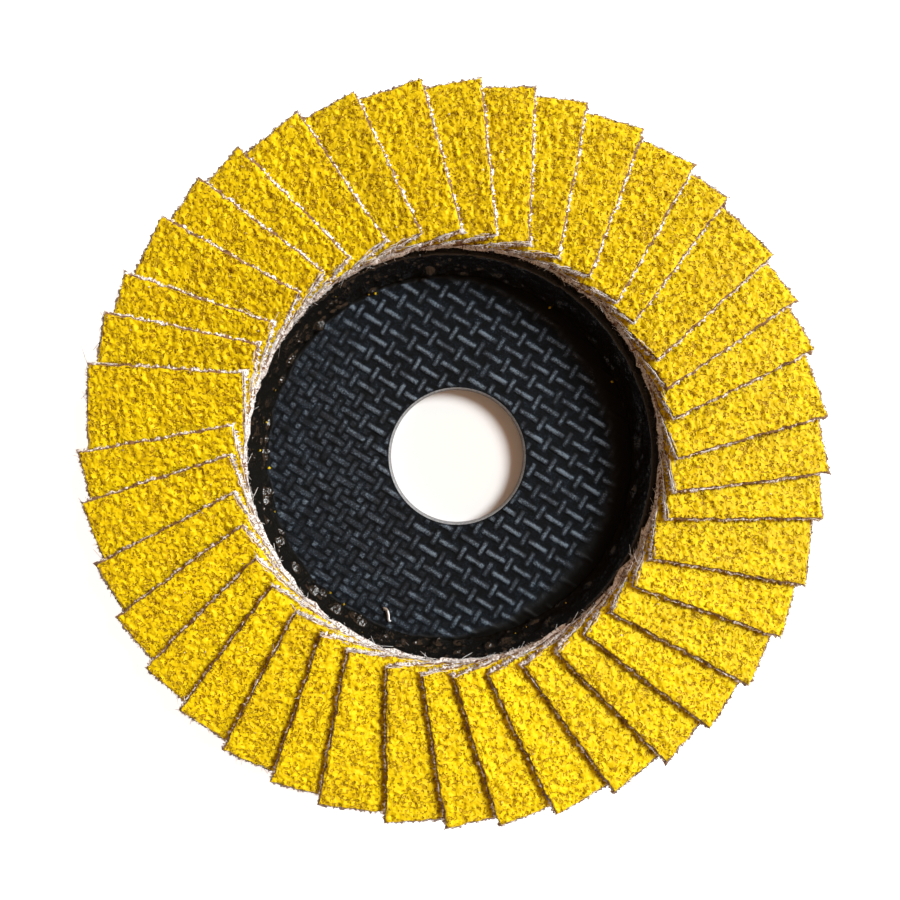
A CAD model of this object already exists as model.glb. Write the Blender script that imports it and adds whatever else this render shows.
from math import cos, pi, radians, sin

import bpy
import numpy as np
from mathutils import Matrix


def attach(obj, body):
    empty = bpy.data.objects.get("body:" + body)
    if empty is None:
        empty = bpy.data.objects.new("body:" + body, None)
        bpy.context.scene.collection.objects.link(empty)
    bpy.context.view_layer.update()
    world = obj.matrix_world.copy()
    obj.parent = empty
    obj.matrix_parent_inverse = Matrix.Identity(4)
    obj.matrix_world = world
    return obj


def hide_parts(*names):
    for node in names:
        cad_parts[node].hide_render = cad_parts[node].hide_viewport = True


# A 115 mm flap disc lying on the back of its hub: a pressed glass-fibre plate, a bed of black
# epoxy and forty flaps of coarse coated cloth.  Sizes are in millimetres until a mesh is made.

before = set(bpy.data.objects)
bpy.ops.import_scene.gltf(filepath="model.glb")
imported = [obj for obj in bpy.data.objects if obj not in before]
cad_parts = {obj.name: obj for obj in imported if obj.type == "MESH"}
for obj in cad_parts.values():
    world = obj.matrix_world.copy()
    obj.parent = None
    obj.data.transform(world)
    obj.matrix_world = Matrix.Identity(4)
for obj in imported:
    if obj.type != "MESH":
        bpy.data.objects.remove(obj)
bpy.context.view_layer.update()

MM = 0.001

# ---- sizes shared with the solids -----------------------------------------------------
BORE_R = 11.115
BORE_CHAMFER = 0.2
PLATE_T = 3.0
HUB_FLAT_R = 31.7
WALL_RUN = 1.1
DISH_DEPTH = 3.0
PLATE_R = 51.5
FLANGE_TOP = DISH_DEPTH + PLATE_T
FLANGE_R = HUB_FLAT_R + WALL_RUN

WEAVE_PITCH = 2.515
WEAVE_HEIGHT = 0.34
WEAVE_TURN = radians(-31.6)
WEAVE_PHASE = (-0.41, -0.29)
LONG_BAR = (3.65, 0.92)
SHORT_BAR = (2.75, 0.82)

FLAP_COUNT = 40
DISC_R = 57.5
FLAP_W = 19.2
FLAP_L = 24.25
FLAP_T = 1.2
FLAP_GAP = 0.26
LIFT = FLAP_T + FLAP_GAP
FIRST_FLAP = -7.3
RING_SHIFT = (-0.65, 0.43)
TIP_DROOP = 0.7
DROOP_FROM_R = 38.0
FLAP_STRAYS = (
    1.7, 1.2, 0.5, 1.0, 1.5, -0.5, 1.7, 0.5, -0.5, 0.7,
    0.4, -1.5, 0.2, -0.1, -0.3, -0.5, -1.0, -0.8, -0.3, -0.5,
    -1.3, -1.0, 0.7, -0.3, -0.5, -0.5, -1.3, -1.3, -1.7, -1.0,
    -2.3, 2.5, 1.7, -0.6, 0.7, -0.1, -1.5, 0.0, 0.2, 1.7,
)
BED_T = 0.9
BED_GRIP = 1.5
BED_Z = FLANGE_TOP + BED_T
BED_TOP = BED_Z + BED_GRIP
BED_INNER_R = 30.0
BED_SHIFT = (-1.4, -0.2)
LIP_R = 32.1

FLAP_OUT_Y = (DISC_R ** 2 - FLAP_W ** 2 / 4) ** 0.5
FLAP_IN_Y = FLAP_OUT_Y - FLAP_L
PITCH = 360 / FLAP_COUNT
INNER_HALF_ANGLE = np.degrees(np.arctan2(FLAP_W / 2, FLAP_IN_Y))

# ---- layers of the coated cloth -------------------------------------------------------
CLOTH_T = 0.5               # polyester backing
GLUE_T = 0.14               # brown maker coat
PIT_Z = 0.48                # the deepest pits, over the flap's underside
GRIT_FACE, CUT_CLOTH, GLUE_LINE, WOVEN_BACK = range(4)  # finishes of a flap


# ---- repeatable noise in millimetres --------------------------------------------------
def chance(i, j, seed):
    """A repeatable number from 0 to 1 for every point of a square lattice."""
    n = (i.astype(np.int64) * 374761393 + j.astype(np.int64) * 668265263
         + seed * 974634777) & 0xffffffff
    n = ((n ^ (n >> 13)) * 1274126177) & 0xffffffff
    n = ((n ^ (n >> 16)) * 668265263) & 0xffffffff
    return ((n ^ (n >> 15)) & 0xffff) / 0xffff


def soft_noise(x, y, size, seed):
    """Smooth noise from 0 to 1 with swells of the given size."""
    u, v = x / size, y / size
    i, j = np.floor(u), np.floor(v)
    a, b = u - i, v - j
    a, b = a * a * (3 - 2 * a), b * b * (3 - 2 * b)
    low = chance(i, j, seed) * (1 - a) + chance(i + 1, j, seed) * a
    high = chance(i, j + 1, seed) * (1 - a) + chance(i + 1, j + 1, seed) * a
    return low * (1 - b) + high * b


def domes(x, y, size, seed, share=1.0, radii=(0.45, 0.8)):
    """Rounded lumps scattered one to a square: the height of the tallest at each point."""
    i0, j0 = np.floor(x / size), np.floor(y / size)
    top = np.zeros_like(x)
    for di in (-1, 0, 1):
        for dj in (-1, 0, 1):
            i, j = i0 + di, j0 + dj
            cx = (i + chance(i, j, seed)) * size
            cy = (j + chance(i, j, seed + 1)) * size
            tall = 0.45 + 0.55 * chance(i, j, seed + 2)
            reach = (radii[0] + (radii[1] - radii[0]) * chance(i, j, seed + 3)) * size
            there = chance(i, j, seed + 4) < share
            lump = 1 - ((x - cx) ** 2 + (y - cy) ** 2) / reach ** 2
            top = np.maximum(top, np.where(there, tall * np.sqrt(np.clip(lump, 0, 1)), 0))
    return top


# ---- meshes ---------------------------------------------------------------------------
def make_piece(name, points, faces, materials, face_materials=None, smooth=True, **marks):
    """A mesh object from points in millimetres; marks are named numbers on its points."""
    mesh = bpy.data.meshes.new(name)
    mesh.from_pydata((np.asarray(points) * MM).tolist(), [], faces)
    for material in materials:
        mesh.materials.append(material)
    if face_materials is not None:
        mesh.polygons.foreach_set("material_index", np.asarray(face_materials, np.int32))
    for label, values in marks.items():
        layer = mesh.attributes.new(label, "FLOAT", "POINT")
        layer.data.foreach_set("value", np.asarray(values, np.float32))
    smooth = np.broadcast_to(smooth, len(mesh.polygons))
    mesh.polygons.foreach_set("use_smooth", smooth.tolist())
    mesh.validate()
    mesh.update()
    piece = bpy.data.objects.new(name, mesh)
    bpy.context.scene.collection.objects.link(piece)
    return piece


def grid_faces(rows, columns, closed=False):
    """Quads of a grid of points; closed joins the last column to the first."""
    r = np.arange(rows - 1)[:, None]
    c = np.arange(columns if closed else columns - 1)[None, :]
    n = (c + 1) % columns
    quads = np.stack([r * columns + c, r * columns + n,
                      (r + 1) * columns + n, (r + 1) * columns + c], -1)
    return quads.reshape(-1, 4).tolist()


def closing_strip(rows, around):
    """Quads from the last ring of a turned grid back to its first."""
    last = (rows - 1) * around
    return [[last + a, last + (a + 1) % around, (a + 1) % around, a] for a in range(around)]


# ---- materials ------------------------------------------------------------------------
def srgb(code):
    """An sRGB hex colour as the linear values a shader takes."""
    parts = [int(code[i:i + 2], 16) / 255 for i in (0, 2, 4)]
    return [p / 12.92 if p <= 0.04045 else ((p + 0.055) / 1.055) ** 2.4 for p in parts] + [1.0]


def add(material, kind, inputs=None, **settings):
    """Adds a node with its settings, and each input as a value or a link."""
    made = material.node_tree.nodes.new("ShaderNode" + kind)
    for name, value in settings.items():
        setattr(made, name, value)
    for name, value in (inputs or {}).items():
        if isinstance(value, bpy.types.NodeSocket):
            material.node_tree.links.new(value, made.inputs[name])
        else:
            made.inputs[name].default_value = value
    return made


def new_material(name, **shader):
    """A material with an empty principled shader, returned with its shader and place."""
    material = bpy.data.materials.new(name)
    material.use_nodes = True
    surface = material.node_tree.nodes["Principled BSDF"]
    for socket, value in shader.items():
        surface.inputs[socket.replace("_", " ")].default_value = value
    place = add(material, "TexCoord").outputs["Object"]
    return material, surface, place


def connect(material, output, socket):
    """Links an output of one node to a socket of another."""
    material.node_tree.links.new(output, socket)


def ramp(material, factor, *stops):
    """Colours along a factor: each stop is its place and its hex code."""
    made = add(material, "ValToRGB", {0: factor})
    elements = made.color_ramp.elements
    for index, (where, code) in enumerate(stops):
        element = elements[index] if index < 2 else elements.new(where)
        element.position = where
        element.color = srgb(code)
    return made.outputs[0]


def per_mm(size):
    """Texture scale that gives swells of the given size in millimetres."""
    return 1 / (size * MM)


def between(material, factor, low, high, start=0.0, end=1.0):
    """Runs smoothly from start to end as the factor goes from low to high."""
    made = add(material, "MapRange", {"Value": factor, "From Min": low, "From Max": high,
                                      "To Min": start, "To Max": end},
               interpolation_type="SMOOTHSTEP")
    return made.outputs[0]


def maths(material, operation, *values):
    """The result of one operation on values or links."""
    return add(material, "Math", dict(enumerate(values)), operation=operation).outputs[0]


def mark(material, name):
    """A named number that the mesh carries on its points."""
    return add(material, "Attribute", attribute_name=name).outputs["Fac"]


def mix(material, share, first, second, **settings):
    """From the first colour to the second as the share goes from 0 to 1."""
    return add(material, "Mix", {0: share, 6: first, 7: second}, data_type="RGBA",
               **settings).outputs[2]


def emboss(material, surface, height, strength, depth):
    """Raises the surface by a height; the depth is in millimetres."""
    bump = add(material, "Bump", {"Height": height, "Strength": strength,
                                  "Distance": depth * MM})
    connect(material, bump.outputs[0], surface.inputs["Normal"])


def noise(material, place, size, detail=2.0, roughness=0.5):
    """Noise with swells of the given size in millimetres."""
    return add(material, "TexNoise", {"Vector": place, "Scale": per_mm(size), "Detail": detail,
                                      "Roughness": roughness}).outputs["Fac"]


def grit_coat():
    """Coarse zirconia grain under a yellow size coat, cured: a dry satin yellow skin over
    fused lumps, broken by small craters with olive rims and by curled creases."""
    material, surface, place = new_material("yellow_sized_grit", Roughness=0.6, IOR=1.5,
                                            Specular_IOR_Level=0.22)
    stir = add(material, "TexNoise", {"Vector": place, "Scale": per_mm(0.55), "Detail": 1.0})
    bent = add(material, "VectorMath", {0: stir.outputs["Color"], 1: (0.5 * MM,) * 3, 2: place},
               operation="MULTIPLY_ADD").outputs[0]
    # creases: thin curled lines, in patches
    field = noise(material, bent, 0.85, 1.0)
    off_line = maths(material, "ABSOLUTE", maths(material, "SUBTRACT", field, 0.5))
    curl = between(material, off_line, 0.012, 0.05, 1.0, 0.0)
    patch = between(material, noise(material, place, 0.9, 1.0), 0.48, 0.56)
    crease = maths(material, "MULTIPLY", maths(material, "MULTIPLY", curl, patch), 0.85)
    # craters: round holes of many widths, darker at the rim than in the middle
    cells = add(material, "TexVoronoi", {"Vector": bent, "Scale": per_mm(0.78)}).outputs
    lot = add(material, "SeparateColor", {0: cells["Color"]}).outputs[0]
    reach = maths(material, "MULTIPLY_ADD", lot, 0.2, 0.2)
    hole = between(material, maths(material, "DIVIDE", cells["Distance"], reach),
                   0.75, 1.15, 1.0, 0.0)
    rim = maths(material, "MULTIPLY", hole, maths(material, "MULTIPLY_ADD", hole, -2.4, 3.0))
    # colour: darker in the pits, and dull in broad patches
    worn = maths(material, "MULTIPLY_ADD", mark(material, "relief"), 0.18, 0.78)
    pit = maths(material, "MAXIMUM", crease, rim)
    level = maths(material, "MULTIPLY_ADD", pit, -0.6, worn)
    base = ramp(material, level, (0.1, "765208"), (0.36, "AC8408"), (0.6, "DEBA00"),
                (0.86, "F0D200"))
    dust = ramp(material, noise(material, place, 5.0), (0.35, "D6C6A0"), (0.65, "FFFFFF"))
    dull = mix(material, 0.3, base, dust, blend_type="MULTIPLY")
    shade = add(material, "HueSaturation", {"Value": mark(material, "tone"), "Color": dull})
    connect(material, shade.outputs[0], surface.inputs["Base Color"])
    crumbs = maths(material, "MULTIPLY", noise(material, bent, 0.95, 1.0), 1.7)
    sunk = maths(material, "MAXIMUM", crease, hole)
    emboss(material, surface, maths(material, "MULTIPLY_ADD", sunk, -0.9, crumbs), 1.0, 0.3)
    return material


def cloth_edge():
    """Polyester cloth, sheared: white thread ends with tan and dark brown stains."""
    material, surface, place = new_material("sheared_polyester_edge", Roughness=0.85)
    threads = noise(material, place, 0.34, 3.0, 0.7)
    colour = ramp(material, threads, (0.33, "3E2A20"), (0.42, "8A786A"), (0.48, "DEDCDA"),
                  (0.58, "FFFFFF"))
    connect(material, colour, surface.inputs["Base Color"])
    emboss(material, surface, threads, 0.8, 0.15)
    return material


def maker_glue():
    """Phenolic maker coat, rolled on and cured: a thin brown line between cloth and grit."""
    material, surface, place = new_material("phenolic_maker_coat", Roughness=0.45)
    mottle = noise(material, place, 0.5, 3.0)
    connect(material, ramp(material, mottle, (0.35, "543A28"), (0.6, "8C6A4A")),
            surface.inputs["Base Color"])
    return material


def cloth_back():
    """Woven polyester backing sized with resin: cream-brown, with a twill's slanting ribs,
    which lie about 2 mm apart, wider than real ones, so that they show."""
    material, surface, place = new_material("sized_polyester_back", Roughness=0.8)
    twill = add(material, "TexWave", {"Vector": place, "Scale": per_mm(0.8) / 6.3,
                                      "Distortion": 1.5, "Detail": 2.0},
                wave_type="BANDS", bands_direction="DIAGONAL").outputs["Fac"]
    connect(material, ramp(material, twill, (0.2, "8C6E50"), (0.8, "CDB594")),
            surface.inputs["Base Color"])
    emboss(material, surface, twill, 0.5, 0.1)
    return material


def plate_skin():
    """Glass-fibre laminate hot-pressed with black phenolic: blue-black and sandy, satin on
    the crests of the screen's imprint, and wet-looking where thin resin has run over it."""
    material, surface, place = new_material("pressed_black_laminate", IOR=1.5)
    crest, wet = mark(material, "relief"), mark(material, "wet")
    grain = noise(material, place, 0.28, 4.0, 0.8)
    raised = maths(material, "MULTIPLY_ADD", crest, 0.62, -0.95)
    mottled = maths(material, "MULTIPLY_ADD", noise(material, place, 1.3), 0.8, raised)
    level = maths(material, "MULTIPLY_ADD", grain, 1.9, mottled)
    colour = ramp(material, level, (0.3, "080A0C"), (0.6, "12181E"), (0.88, "303B47"),
                  (1.0, "606F7C"))
    coated = mix(material, wet, colour, srgb("0B0A08"))
    connect(material, coated, surface.inputs["Base Color"])
    shine = maths(material, "MULTIPLY_ADD", crest, 0.35, 0.12)
    connect(material, shine, surface.inputs["Specular IOR Level"])
    dry = between(material, crest, 0.1, 0.8, 0.8, 0.5)
    gloss = maths(material, "MULTIPLY_ADD", wet, -0.42, dry)
    connect(material, gloss, surface.inputs["Roughness"])
    emboss(material, surface, grain, maths(material, "MULTIPLY_ADD", wet, -0.7, 0.85), 0.2)
    return material


def bore_edge():
    """Laminate cut through for the bore: grey, with the glass plies as fine rings."""
    material, surface, place = new_material("cut_laminate_edge", Roughness=0.6)
    height = add(material, "SeparateXYZ", {0: place}).outputs["Z"]
    plies = maths(material, "SINE", maths(material, "MULTIPLY", height, 2 * pi / (0.55 * MM)))
    mixed = maths(material, "MULTIPLY_ADD", plies, 0.18, noise(material, place, 0.3, 3.0))
    connect(material, ramp(material, mixed, (0.25, "3E4246"), (0.75, "9A9EA2")),
            surface.inputs["Base Color"])
    return material


def glossy_epoxy():
    """Black epoxy poured and cured in air: wet-looking gloss, combed into fine streaks
    where it ran down from between the flaps."""
    material, surface, place = new_material("poured_black_epoxy", Roughness=0.06, IOR=1.55)
    surface.inputs["Base Color"].default_value = srgb("11100D")
    # streaks: noise laid round the disc in millimetres, and drawn out towards the axis
    parts = add(material, "SeparateXYZ", {0: place}).outputs
    squares = [maths(material, "MULTIPLY", parts[axis], parts[axis]) for axis in "XY"]
    radius = maths(material, "SQRT", maths(material, "ADD", *squares))
    bearing = maths(material, "ARCTAN2", parts["Y"], parts["X"])
    combed = add(material, "CombineXYZ", {"X": maths(material, "MULTIPLY", bearing, 31 * MM),
                                          "Y": maths(material, "MULTIPLY", radius, 0.22)})
    streaks = noise(material, combed.outputs[0], 0.5, 1.5)
    swell = noise(material, place, 0.9, 3.0, 0.55)
    height = maths(material, "MULTIPLY_ADD", streaks, 1.2, swell)
    strength = maths(material, "MULTIPLY_ADD", mark(material, "streaky"), 0.65, 0.35)
    emboss(material, surface, height, strength, 0.36)
    return material


def loose_thread():
    """Polyester filament, frayed by the cut: off-white and fuzzy, and stained dark brown
    where it has worn."""
    material, surface, place = new_material("frayed_polyester_thread", Roughness=0.8)
    stain = noise(material, place, 1.5)
    clean = ramp(material, stain, (0.3, "8C8074"), (0.46, "E8EAEC"), (0.6, "FFFFFF"))
    dirty = ramp(material, stain, (0.42, "26262E"), (0.52, "5E4A40"), (0.64, "B8A89C"))
    connect(material, mix(material, mark(material, "worn"), clean, dirty),
            surface.inputs["Base Color"])
    return material


def pale_grain():
    """Bare zirconia grain that has lost its yellow coat: milky and a little glassy."""
    material, surface, place = new_material("bare_zirconia_grain", Roughness=0.35, IOR=1.9)
    colour = ramp(material, noise(material, place, 0.5), (0.4, "8C7A66"), (0.6, "F4EFE8"))
    connect(material, colour, surface.inputs["Base Color"])
    return material


GLOW_FROM, GLOW_FULL = 40, 58           # distance from the axis where the card glows


def pale_floor():
    """Matt white card on a light table that glows outside the disc, so that the shadow
    round it stays soft."""
    material, surface, place = new_material("matt_white_card", Roughness=0.95)
    surface.inputs["Base Color"].default_value = srgb("F4F4F4")
    surface.inputs["Emission Color"].default_value = srgb("FFFFFF")
    far = add(material, "VectorMath", {0: place}, operation="LENGTH").outputs["Value"]
    glow = between(material, far, GLOW_FROM * MM, GLOW_FULL * MM, 0.0, 0.85)
    connect(material, glow, surface.inputs["Emission Strength"])
    return material


GRIT = grit_coat()
EDGE = cloth_edge()
GLUE = maker_glue()
BACK = cloth_back()
PLATE = plate_skin()
BORE = bore_edge()
EPOXY = glossy_epoxy()
THREAD = loose_thread()
PALE = pale_grain()


# ---- flaps ----------------------------------------------------------------------------
def sheet_z(x, y, stray):
    """Height of a flap's underside: equal screw surfaces, one lift apart."""
    turned = np.degrees(np.arctan2(x, y)) + stray + INNER_HALF_ANGLE
    slack = np.maximum(0, (np.hypot(x, y) - DROOP_FROM_R) / (DISC_R - DROOP_FROM_R))
    return BED_Z + LIFT * turned / PITCH - TIP_DROOP * slack ** 2


def flap_place(number):
    """How far a flap strays, in degrees, and its whole turn in radians, both clockwise."""
    stray = FLAP_STRAYS[number]
    return stray, radians(FIRST_FLAP + number * PITCH + stray)


def to_disc(x, y, z, turn):
    """From a flap's own plan to the disc's frame; turn is clockwise, in radians."""
    return np.stack([RING_SHIFT[0] + x * cos(turn) + y * sin(turn),
                     RING_SHIFT[1] - x * sin(turn) + y * cos(turn), z], -1)


def ridges(x, y, size, seed):
    """Noise folded into crests, 0 to 1."""
    return 1 - np.abs(2 * soft_noise(x, y, size, seed) - 1)


def grit_relief(x, y, seed):
    """Height from 0 to 1 of the coarse coat: wrinkled crests and fused lumps with pits."""
    u = x + 0.5 * soft_noise(x, y, 0.9, seed + 33)
    v = y + 0.5 * soft_noise(x, y, 0.9, seed + 34)
    lumps = domes(u, v, 0.95, seed)
    pits = domes(u, v, 1.1, seed + 20, share=0.55, radii=(0.22, 0.4))
    folds = 0.75 * ridges(u, v, 1.15, seed + 30) + 0.25 * ridges(u, v, 0.7, seed + 31)
    swell = soft_noise(x, y, 2.4, seed + 32)
    return np.clip(0.05 + 0.32 * lumps + 0.5 * folds + 0.25 * swell - 0.4 * pits, 0, 1)


FLAP_ROWS = 110             # grid rows from the inner end to the rim
SHOWN_W = (7.6, 3.0)        # width that shows at the inner end, and how much it grows
SHOWN = np.linspace(0, 1, 43)                           # columns over that width
HIDDEN = np.array([0.06, 0.16, 0.3, 0.5, 0.75, 1.0])    # columns over the rest


def flap_grid():
    """A flap's grid: close where it shows, wide under the next flap."""
    y = np.linspace(FLAP_IN_Y, FLAP_OUT_Y, FLAP_ROWS)
    rows = []
    for part in (y - FLAP_IN_Y) / FLAP_L:
        reach = SHOWN_W[0] + SHOWN_W[1] * part
        near = FLAP_W / 2 - reach * SHOWN
        far = near[-1] - (FLAP_W - reach) * HIDDEN
        rows.append(np.concatenate([near, far])[::-1])
    return np.array(rows), np.repeat(y[:, None], len(rows[0]), 1)


CUT_EDGE = (                # down the cut side: height, how far it sticks out, ragged, finish
    (CLOTH_T + GLUE_T + 0.2, -0.08, 0.14, GRIT_FACE),
    (CLOTH_T + GLUE_T, -0.02, 0.18, GRIT_FACE),
    (CLOTH_T, 0.16, 0.32, GLUE_LINE),
    (CLOTH_T * 0.55, 0.38, 0.55, CUT_CLOTH),
    (0.0, 0.1, 0.3, CUT_CLOTH),
)
SIDE_RELIEF = 0.4           # the grit's tone down the cut


def grit_face(stray, turn, seed):
    """The top of a flap: its grid in plan, its points and the relief at each."""
    x, y = flap_grid()
    from_side, from_end = FLAP_W / 2 - np.abs(x), np.minimum(y - FLAP_IN_Y, FLAP_OUT_Y - y)
    inset = np.minimum(from_side, from_end)
    relief = grit_relief(x, y, seed) * (1 - 0.3 * np.exp(-inset / 0.2))
    # grit has broken away along the cut, so it stands a little back from the cloth
    back = np.exp(-inset / 0.45) * (0.1 + 0.25 * soft_noise(x + y, x - y, 0.55, seed + 40))
    px = x - np.sign(x) * back * (from_side < 1.0)
    py = y - np.sign(y - FLAP_IN_Y - FLAP_L / 2) * back * (from_end < 1.0)
    top = sheet_z(px, py, stray) + PIT_Z + (FLAP_T - PIT_Z) * relief
    return x, y, to_disc(px, py, top, turn).reshape(-1, 3), relief.ravel()


def cut_rings(rim_x, rim_y, seed):
    """Down the cut sides, ring by ring: where it runs, its height and each face's finish."""
    out_x = np.where(np.abs(np.abs(rim_x) - FLAP_W / 2) < 1e-6, np.sign(rim_x), 0)
    out_y = np.where(rim_y <= FLAP_IN_Y, -1, np.where(rim_y >= FLAP_OUT_Y, 1, 0))
    steps = np.arange(len(rim_x))
    wander = 0.34 * (soft_noise(rim_x, rim_y, 1.1, seed + 43) - 0.5)
    fuzzy = np.where(out_y < 0, 1.5, np.where(out_y > 0, 1.2, 1.0))
    clean = np.where(out_y > 0, 0.5, np.where(out_y < 0, 0.82, 0.62))
    stained = soft_noise(rim_x, rim_y, 0.7, seed + 44) > clean
    for level, push, rough, finish in CUT_EDGE:
        out = push + wander + fuzzy * rough * (chance(
            steps, steps * 0 + finish, seed + 42) - 0.4)
        finishes = np.where(stained & (finish == CUT_CLOTH), GLUE_LINE, finish)
        yield rim_x + out_x * out, rim_y + out_y * out, level, finishes.tolist()


def back_faces(rim, rows, columns):
    """Faces that close the back inside its last ring, which starts at the inner left."""
    right = rim[columns - 1:columns - 1 + rows]
    left = np.concatenate([[rim[0]], rim[::-1][:rows - 1]])
    inner, outer = rim[:columns], rim[columns + rows - 2:2 * columns + rows - 2]
    faces = [[*inner[::-1], left[1], right[1]], [*outer[::-1], right[-2], left[-2]]]
    faces += [[left[k], left[k + 1], right[k + 1], right[k]] for k in range(1, rows - 2)]
    return [[int(point) for point in face] for face in faces]


def make_flap(number):
    """One flap: grit face with real lumps and pits, cut edges in layers, woven back."""
    stray, turn = flap_place(number)
    seed = 100 * number
    x, y, top, relief = grit_face(stray, turn, seed)
    rows, columns = x.shape
    points, reliefs = [top], [relief]
    faces = grid_faces(rows, columns)
    finishes = [GRIT_FACE] * len(faces)

    index = np.arange(rows * columns).reshape(rows, columns)
    rim = np.concatenate([index[0, :], index[1:, -1], index[-1, -2::-1], index[-2:0:-1, 0]])
    steps = np.arange(len(rim))
    follow = np.roll(steps, -1)
    above, count = rim, rows * columns
    for ring_x, ring_y, level, kinds in cut_rings(x.ravel()[rim], y.ravel()[rim], seed):
        points.append(to_disc(ring_x, ring_y, sheet_z(ring_x, ring_y, stray) + level, turn))
        reliefs.append(np.full(len(rim), SIDE_RELIEF))
        below = count + steps
        faces += np.stack([above[follow], above, below, below[follow]], -1).tolist()
        finishes += kinds
        above, count = below, count + len(rim)
    back = back_faces(above, rows, columns)
    tone = 0.95 + 0.1 * float(chance(np.array([number]), np.array([7]), 5)[0])
    reliefs = np.concatenate(reliefs)
    piece = make_piece(f"coated_cloth_flap_{number + 1:02d}", np.concatenate(points),
                       faces + back, [GRIT, EDGE, GLUE, BACK],
                       finishes + [WOVEN_BACK] * len(back), relief=reliefs,
                       tone=np.full(len(reliefs), tone))
    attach(piece, "root")
    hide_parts(f"flap_{number + 1:02d}")


# ---- backing plate --------------------------------------------------------------------
def smooth_step(low, high, value):
    """From 0 to 1, smoothly, as the value goes from low to high."""
    t = np.clip((value - low) / (high - low), 0, 1)
    return t * t * (3 - 2 * t)


def bar_profile(along, across, size):
    """A rounded yarn crest of the given length and width, which dives at its ends."""
    length, width = size
    side = np.clip(1 - (across / (width / 2)) ** 2, 0, 1)
    end = np.clip((length / 2 - np.abs(along)) / 0.6, 0, 1)
    return np.sqrt(side) * np.sqrt(end * (2 - end))


SQUARE_HALF = 0.52          # half the foot of a small square
SQUARE_RUN = 0.14           # plan width of its sloping sides


def weave_relief(x, y):
    """The press screen's imprint, 0 to 1: crests of both directions, flattened on the -X
    side, and there also the small squares left in the screen's openings."""
    u = (x * cos(WEAVE_TURN) + y * sin(WEAVE_TURN)) / WEAVE_PITCH - WEAVE_PHASE[0]
    v = (-x * sin(WEAVE_TURN) + y * cos(WEAVE_TURN)) / WEAVE_PITCH - WEAVE_PHASE[1]
    flat = smooth_step(4.0, 24.0, -x - 0.35 * y)
    worn = 0.66 + 0.5 * soft_noise(x, y, 2.2, 900) - 0.3 * flat
    row = np.round(v)
    near = 2 * np.round((u - np.mod(row, 2)) / 2) + np.mod(row, 2)
    wide = 1 + 0.15 * flat
    long_crest = bar_profile((u - near) * WEAVE_PITCH, (v - row) * WEAVE_PITCH / wide,
                             LONG_BAR)
    column = np.round(u)
    odd = np.mod(column + 1, 2)
    near = 2 * np.round((v - odd) / 2) + odd
    short_crest = bar_profile((v - near) * WEAVE_PITCH, (u - column) * WEAVE_PITCH / wide,
                              SHORT_BAR)
    du = np.abs(u - np.floor(u) - 0.5) * WEAVE_PITCH
    dv = np.abs(v - np.floor(v) - 0.5) * WEAVE_PITCH
    square = np.clip((SQUARE_HALF - np.maximum(du, dv)) / SQUARE_RUN, 0, 1)
    crest = np.minimum(np.maximum(long_crest, 0.82 * short_crest), 1 - 0.25 * flat)
    return np.maximum(crest * worn, square * flat * (0.55 + 0.25 * soft_noise(x, y, 1.8, 901)))


def wetness(x, y):
    """How far thin resin covers the weave, 0 to 1: a broad film on the +X side only."""
    reach = np.hypot(x - BED_SHIFT[0], y - BED_SHIFT[1])
    side = (x / np.maximum(np.hypot(x, y), 1e-6) + 1) / 2
    width = 0.5 + 4.2 * smooth_step(0.35, 1.0, side)
    wobble = 0.8 * (soft_noise(x, y, 2.6, 905) - 0.5)
    return smooth_step(-width, -0.25 * width, reach - BED_INNER_R + wobble)


PLATE_AROUND = 680          # points round the plate
WEAVE_OUT_R = 31.2          # the grid is close from the bore to here
WEAVE_STEP = 0.2            # between the rings of that grid
EDGE_ROUND = 0.3            # worn corners of the flange
PLAIN_RELIEF = 0.25         # tone of the plate where nothing is woven
FLANGE_RING_R, BACK_RING_R = 45.0, 20.0     # only divide the plain flange and back
LAMINATE, CUT_BORE = range(2)               # finishes of the plate


def plate_section():
    """Radius and height of the plate's section: woven front, plain rest, wall of the bore."""
    thick_run = PLATE_T * WALL_RUN / DISH_DEPTH
    bore_top = PLATE_T - BORE_CHAMFER
    woven = [(r, PLATE_T)
             for r in np.arange(BORE_R + BORE_CHAMFER + 0.02, WEAVE_OUT_R, WEAVE_STEP)]
    plain = [(HUB_FLAT_R, PLATE_T), (FLANGE_R, FLANGE_TOP), (FLANGE_RING_R, FLANGE_TOP),
             (PLATE_R - EDGE_ROUND, FLANGE_TOP), (PLATE_R, FLANGE_TOP - EDGE_ROUND),
             (PLATE_R, DISH_DEPTH + EDGE_ROUND), (PLATE_R - EDGE_ROUND, DISH_DEPTH),
             (FLANGE_R + thick_run, DISH_DEPTH), (HUB_FLAT_R + thick_run, 0.0),
             (BACK_RING_R, 0.0), (BORE_R, 0.0)]
    wall = [(BORE_R, z) for z in (0.02, 0.7, 1.4, 2.1, bore_top - 0.02, bore_top)]
    return woven, plain, wall + [(BORE_R + BORE_CHAMFER, PLATE_T)]


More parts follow.
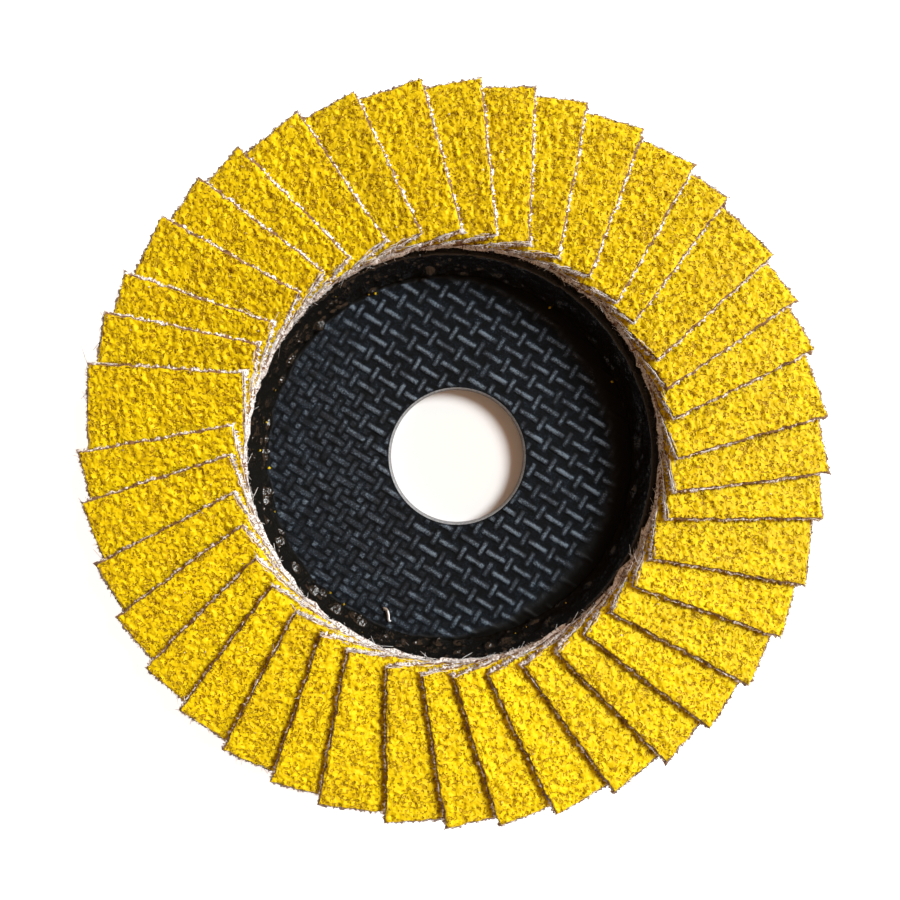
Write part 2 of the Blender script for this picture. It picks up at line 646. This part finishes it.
def make_plate():
    """The pressed plate as a turned grid, close on the woven hub and wide elsewhere."""
    woven, plain, wall = plate_section()
    section = woven + plain + wall
    angle = np.linspace(0, 2 * pi, PLATE_AROUND, endpoint=False)
    points, reliefs, wets = [], [], []
    for number, (radius, height) in enumerate(section):
        x, y = radius * np.cos(angle), radius * np.sin(angle)
        relief, wet = np.zeros(PLATE_AROUND), np.zeros(PLATE_AROUND)
        shown = np.full(PLATE_AROUND, PLAIN_RELIEF)
        if number < len(woven):
            wet = wetness(x, y)
            rim = np.clip((radius - BORE_R - BORE_CHAMFER) / 0.4, 0, 1)
            relief = weave_relief(x, y) * rim
            relief = relief * (1 - wet) + wet * np.maximum(0.55, 0.8 * relief)
            shown = relief * (1 - wet)
        points.append(np.stack([x, y, height + WEAVE_HEIGHT * relief], -1))
        reliefs.append(shown)
        wets.append(wet)
    faces = grid_faces(len(section), PLATE_AROUND, closed=True)
    faces = [f[::-1] for f in faces + closing_strip(len(section), PLATE_AROUND)]
    kinds = np.repeat([LAMINATE, CUT_BORE, LAMINATE],
                      [(len(woven + plain) - 1) * PLATE_AROUND, len(wall) * PLATE_AROUND,
                       PLATE_AROUND])
    piece = make_piece("pressed_backing_plate", np.concatenate(points), faces, [PLATE, BORE],
                       kinds, relief=np.concatenate(reliefs), wet=np.concatenate(wets))
    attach(piece, "root")
    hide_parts("backing_plate")


# ---- epoxy ----------------------------------------------------------------------------
def from_bed_axis(angle, radius):
    """Distance from the bore axis to a circle about the bed's own, shifted axis."""
    along = BED_SHIFT[0] * np.cos(angle) + BED_SHIFT[1] * np.sin(angle)
    aside = BED_SHIFT[1] * np.cos(angle) - BED_SHIFT[0] * np.sin(angle)
    return along + np.sqrt(radius ** 2 - aside ** 2)


RESIN_AROUND, RESIN_RINGS = 840, 36
RESIN_END_R = 33.0          # the skin ends under the flaps' inner ends
DRIP, BEAD = 3.3, 0.9       # spacing of the drips and of the small beads
FEW_DRIPS_AT = radians(12)  # bearing where the run-out is smoothest


def make_resin_skin():
    """The visible skin of the epoxy: run-out over the wall with drips at its foot, offset
    from the cast section along a way out that turns smoothly over its crest."""
    angle = np.linspace(0, 2 * pi, RESIN_AROUND, endpoint=False)
    foot = from_bed_axis(angle, BED_INNER_R)
    lip = from_bed_axis(angle, LIP_R)
    end = np.maximum(lip + 0.15, RESIN_END_R)
    slope = np.arctan2(BED_TOP - PLATE_T, LIP_R - BED_INNER_R)
    run = np.hypot(BED_TOP - PLATE_T, LIP_R - BED_INNER_R)
    path = np.linspace(0, 1, RESIN_RINGS)[:, None] * (run + end - lip)
    over = path > run
    radius = np.where(over, lip + path - run, foot + path * cos(slope))
    height = np.where(over, BED_TOP, PLATE_T + path * sin(slope))

    u, v = (BED_INNER_R + path) * np.cos(angle), (BED_INNER_R + path) * np.sin(angle)
    lumpy = 1 - 0.7 * smooth_step(-0.2, 0.7, np.cos(angle - FEW_DRIPS_AT)) + path * 0
    swell = soft_noise(u, v, 2.4, 705)
    drips = domes(u, v, DRIP, 710, share=0.9, radii=(0.34, 0.5)) ** 2
    beads = domes(u, v, BEAD, 720, share=0.35, radii=(0.35, 0.6)) ** 2
    low = np.exp(-((path - 1.6) / 1.6) ** 2)
    thick = 0.1 + 0.22 * swell + lumpy * (low * 1.35 * drips + 0.4 * beads)
    thick = thick * smooth_step(-0.1, 0.6, path)
    turn = smooth_step(-0.9, 0.7, path - run)
    out = (pi / 2 - slope) * (1 - turn) + pi / 2 * turn
    radius = radius - thick * np.cos(out)
    height = height + thick * np.sin(out)
    ragged = soft_noise(BED_INNER_R * np.cos(angle), BED_INNER_R * np.sin(angle), 1.8, 700)
    radius[0] += 0.3 * (ragged - 0.7)
    height[0] = PLATE_T + 0.1

    # two more rings, sunk in the cast bed and in the plate, close the skin from below
    radius = np.concatenate([radius, radius[-1:], radius[:1]])
    sunk = [np.full((1, RESIN_AROUND), z) for z in (BED_TOP - 0.8, PLATE_T - 0.1)]
    height = np.concatenate([height, *sunk])
    points = np.stack([radius * np.cos(angle), radius * np.sin(angle), height], -1)
    faces = grid_faces(RESIN_RINGS + 2, RESIN_AROUND, closed=True)
    faces += closing_strip(RESIN_RINGS + 2, RESIN_AROUND)
    streaky = lumpy * smooth_step(0.04, 0.3, drips + 0.25 * beads)
    streaky = np.concatenate([streaky.ravel(), np.zeros(2 * RESIN_AROUND)])
    rounded = np.arange(len(faces)) < (RESIN_RINGS - 1) * RESIN_AROUND
    piece = make_piece("resin_run_out", points.reshape(-1, 3), faces, [EPOXY],
                       smooth=rounded, streaky=streaky)
    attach(piece, "root")


def coat_bed():
    """The cast bed keeps its own shape and takes the epoxy's finish."""
    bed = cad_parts["epoxy_bed"]
    bed.data.materials.clear()
    bed.data.materials.append(EPOXY)


# ---- loose threads and grains ---------------------------------------------------------
NO_THREAD_WAY = (0.12, 0.31, 0.94)      # no thread runs quite this way


def tubes(lines, thick):
    """Points and faces of thin three-sided tubes along lines of shape (count, rows, 3)."""
    count, rows = lines.shape[:2]
    along = np.gradient(lines, axis=1)
    along /= np.linalg.norm(along, axis=2, keepdims=True) + 1e-9
    side = np.cross(along, NO_THREAD_WAY)
    side /= np.linalg.norm(side, axis=2, keepdims=True) + 1e-9
    over = np.cross(along, side)
    taper = np.linspace(1, 0.55, rows)[None, :, None]
    rim = [lines + thick[:, None, None] * taper * (cos(a) * side + sin(a) * over)
           for a in (0, 2 * pi / 3, 4 * pi / 3)]
    points = np.stack(rim, 2).reshape(-1, 3)
    base = (np.arange(count) * rows * 3)[:, None, None]
    r, c = np.arange(rows - 1)[:, None] * 3, np.arange(3)[None, :]
    n = (c + 1) % 3
    quads = np.stack([base + r + c, base + r + n, base + r + 3 + n, base + r + 3 + c], -1)
    foot = (base[:, 0] + [2, 1, 0]).tolist()
    tip = (base[:, 0] + 3 * (rows - 1) + [0, 1, 2]).tolist()
    return points, quads.reshape(-1, 4).tolist() + foot + tip


def cut_places(side, spots):
    """Points along one cut side of a flap and the ways out of it and along it."""
    zero, one = np.zeros_like(spots), np.ones_like(spots)
    if side == "free":
        return one * FLAP_W / 2, FLAP_IN_Y + FLAP_L * spots, (one, zero), (zero, one)
    x = FLAP_W * (spots - 0.5)
    if side == "in":
        return x, one * FLAP_IN_Y, (zero, -one), (one, zero)
    return x, one * FLAP_OUT_Y, (zero, one), (one, zero)


THREADS = (                 # side, loose ends, their reach, threads lying along the cut
    ("in", 100, 0.7, 48),
    ("free", 40, 0.4, 14),
    ("out", 60, 0.7, 10),
)
THREAD_R = (0.03, 0.055)    # loose ends
RUN_R = (0.04, 0.07)        # threads lying along the cut
END_ROWS, RUN_ROWS = 3, 5   # points along one thread


def first_spot(side):
    """Only the free half of the rim side shows, so its threads start half way along."""
    return 0.5 if side == "out" else 0.0


def loose_ends(rng, side, count, reach, stray, turn):
    """Filaments that stick out of one cut side of a flap."""
    x, y, out, way = cut_places(side, rng.uniform(first_spot(side), 1, (count, 1)))
    t = np.linspace(0, 1, END_ROWS)[None, :]
    length = reach * rng.uniform(0.3, 1.0, (count, 1))
    length = length * (1 + 1.2 * (rng.random((count, 1)) > 0.95))
    lean, curl = rng.normal(0, 0.9, (count, 1)), rng.normal(0, 0.5, (count, 1))
    off, slide = length * t, length * (lean * t + curl * t * t)
    px = x + out[0] * off + way[0] * slide
    py = y + out[1] * off + way[1] * slide
    level = rng.uniform(0.05, CLOTH_T, (count, 1))
    rise = rng.normal(0.05, 0.3, (count, 1)) * length
    return to_disc(px, py, sheet_z(px, py, stray) + level + rise * t, turn)


def lying_threads(rng, side, count, stray, turn):
    """Wavy threads that the cut has left along one side of a flap."""
    x, y, out, way = cut_places(side, rng.uniform(first_spot(side), 1, (count, 1)))
    t = np.linspace(-0.5, 0.5, RUN_ROWS)[None, :]
    length = rng.uniform(0.8, 3.2, (count, 1))
    phase, waves = rng.uniform(0, 6.3, (count, 1)), rng.uniform(4, 9, (count, 1))
    near, wide, high = ((-0.12, 0.5, FLAP_T + 0.05) if side == "in"
                        else (0.02, 0.4, CLOTH_T))
    off = rng.uniform(near, wide, (count, 1)) + 0.1 * np.sin(waves * t + phase)
    px = x + out[0] * off + way[0] * length * t
    py = y + out[1] * off + way[1] * length * t
    px = np.clip(px, -FLAP_W / 2 - 0.3, FLAP_W / 2 + 0.3)
    py = np.clip(py, FLAP_IN_Y - 0.4, FLAP_OUT_Y + 0.3)
    level = rng.uniform(0.08, high, (count, 1)) + 0.07 * np.cos(waves * t + phase)
    return to_disc(px, py, sheet_z(px, py, stray) + level, turn)


def make_threads():
    """Filaments of the cut cloth: loose ends that stick out and runs along the cut, worn
    and dirty on the rim side."""
    rng = np.random.default_rng(41)
    ends, runs, worn = [], [], [[], []]
    for number in range(FLAP_COUNT):
        stray, turn = flap_place(number)
        for side, loose, reach, lying in THREADS:
            ends.append(loose_ends(rng, side, loose, reach, stray, turn))
            runs.append(lying_threads(rng, side, lying, stray, turn))
            worn[0] += [side == "out"] * loose
            worn[1] += [side == "out"] * lying
    ends, runs = np.concatenate(ends), np.concatenate(runs)
    points, faces = tubes(ends, rng.uniform(*THREAD_R, len(ends)))
    more, joined = tubes(runs, rng.uniform(*RUN_R, len(runs)))
    faces += [[v + len(points) for v in face] for face in joined]
    marks = np.concatenate([np.repeat(worn[0], 3 * END_ROWS), np.repeat(worn[1], 3 * RUN_ROWS)])
    piece = make_piece("frayed_threads", np.concatenate([points, more]), faces, [THREAD],
                       worn=marks)
    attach(piece, "root")


def make_lint():
    """One thread, about 3 mm long, dropped on the hub near the resin."""
    t = np.linspace(0, 1, 14)
    x = -12.1 + 1.5 * t + 0.3 * np.sin(5 * t)
    y = -25.0 - 2.4 * t + 0.35 * np.sin(7.5 * t)
    z = PLATE_T + WEAVE_HEIGHT + 0.12 + 0.25 * np.sin(pi * t)
    points, faces = tubes(np.stack([x, y, z], -1)[None], np.array([0.34]))
    piece = make_piece("dropped_thread", points, faces, [THREAD])
    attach(piece, "root")


def make_grains(name, places, sizes, material, seed):
    """Loose grains as small broken octahedra, each turned its own way."""
    rng = np.random.default_rng(seed)
    corners = np.array([(1, 0, 0), (-1, 0, 0), (0, 1, 0), (0, -1, 0), (0, 0, 1), (0, 0, -1)])
    sides = [(0, 2, 4), (2, 1, 4), (1, 3, 4), (3, 0, 4), (2, 0, 5), (1, 2, 5), (3, 1, 5),
             (0, 3, 5)]
    points, faces = [], []
    for place, size in zip(places, sizes):
        turn, _ = np.linalg.qr(rng.normal(size=(3, 3)))
        turn = turn * np.sign(np.linalg.det(turn))
        lump = corners * rng.uniform(0.6, 1.3, (6, 1)) @ turn
        faces += [[len(points) + c for c in side] for side in sides]
        points += (np.array(place) + size / 2 * lump).tolist()
    piece = make_piece(name, points, faces, [material], smooth=False,
                       relief=np.full(len(points), 0.8), tone=np.full(len(points), 1.0))
    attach(piece, "root")


def make_stray_grit():
    """Yellow crumbs in the resin, most of them on the -X side, and pale grains on the
    flaps."""
    rng = np.random.default_rng(77)
    bearing = np.concatenate([rng.normal(radians(195), radians(42), 34),
                              rng.uniform(0, 2 * pi, 16)])
    foot = from_bed_axis(bearing, BED_INNER_R)
    radius = foot + rng.uniform(-0.6, 1.7, len(bearing))
    height = PLATE_T + np.clip((radius - foot) * 2.2, 0, 6) + 0.45
    places = np.stack([radius * np.cos(bearing), radius * np.sin(bearing), height], -1)
    make_grains("crumbs_in_resin", places, rng.uniform(0.25, 0.62, len(places)), GRIT, 78)

    places = []
    for number in range(FLAP_COUNT):
        stray, turn = flap_place(number)
        x = FLAP_W / 2 - rng.uniform(0.2, 6.0, 2)
        y = rng.uniform(FLAP_IN_Y + 1, FLAP_OUT_Y - 0.5, 2)
        z = sheet_z(x, y, stray) + FLAP_T * 0.9
        places += to_disc(x, y, z, turn).tolist()
    make_grains("pale_grains", places, rng.uniform(0.14, 0.34, len(places)), PALE, 79)


# ---- floor, light and camera ----------------------------------------------------------
CARD_HALF = 900.0           # half the side of the white card
WINDOW_BEARING, WINDOW_RISE = radians(23), radians(43)
WINDOW_FAR, WINDOW_ACROSS = 2.0, 0.85   # metres
WINDOW_WATTS = 54.0
WINDOW_TINT = (0.92, 0.98, 1.0)
CAMERA_AT = (-1.17, 1.0, 120.0)
SENSOR_W = 36.0
PICTURE_PX, FOCAL_PX = 900, 710.0       # picture width and focal length in pixels


def make_floor():
    """The white card that the disc lies on."""
    half = CARD_HALF
    floor = make_piece("white_card", [(-half, -half, 0), (half, -half, 0), (half, half, 0),
                                      (-half, half, 0)], [[0, 1, 2, 3]], [pale_floor()])


def make_room():
    """A warm room, brighter on the window's side and dim overhead."""
    world = bpy.data.worlds.new("soft_room")
    bpy.context.scene.world = world
    world.use_nodes = True
    place = add(world, "TexCoord").outputs["Generated"]
    height = add(world, "SeparateXYZ", {0: place}).outputs["Z"]
    facing = add(world, "VectorMath", {0: place, 1: (cos(WINDOW_BEARING),
                                                     sin(WINDOW_BEARING), 0)},
                 operation="DOT_PRODUCT").outputs["Value"]
    light = add(world, "MapRange", {"Value": facing, "From Min": -1, "From Max": 1,
                                    "To Min": 0.3, "To Max": 1.3}).outputs[0]
    sky = world.node_tree.nodes["Background"]
    connect(world, ramp(world, height, (0.5, "FFCAA2"), (0.9, "725A46")), sky.inputs["Color"])
    connect(world, light, sky.inputs["Strength"])


def make_window():
    """A cool round lamp as large as a small window, low enough to show the relief."""
    lamp = bpy.data.lights.new("window", "AREA")
    lamp.shape = "DISK"
    lamp.size = WINDOW_ACROSS
    lamp.energy = WINDOW_WATTS
    lamp.color = WINDOW_TINT
    holder = bpy.data.objects.new("window", lamp)
    bpy.context.scene.collection.objects.link(holder)
    way = (cos(WINDOW_RISE) * cos(WINDOW_BEARING), cos(WINDOW_RISE) * sin(WINDOW_BEARING),
           sin(WINDOW_RISE))
    holder.location = [WINDOW_FAR * part for part in way]
    holder.rotation_euler = (0, pi / 2 - WINDOW_RISE, WINDOW_BEARING)


def make_camera():
    """Straight above, close enough that the near flaps look larger than the hub."""
    camera = bpy.data.cameras.new("camera")
    camera.sensor_width = SENSOR_W
    camera.lens = FOCAL_PX / PICTURE_PX * camera.sensor_width
    camera.clip_start = 0.01
    holder = bpy.data.objects.new("camera", camera)
    bpy.context.scene.collection.objects.link(holder)
    holder.location = [part * MM for part in CAMERA_AT]
    bpy.context.scene.camera = holder


for flap_number in range(FLAP_COUNT):
    make_flap(flap_number)
make_plate()
make_resin_skin()
coat_bed()
make_threads()
make_lint()
make_stray_grit()
make_floor()
make_room()
make_window()
make_camera()
bpy.context.scene.view_settings.view_transform = "Standard"
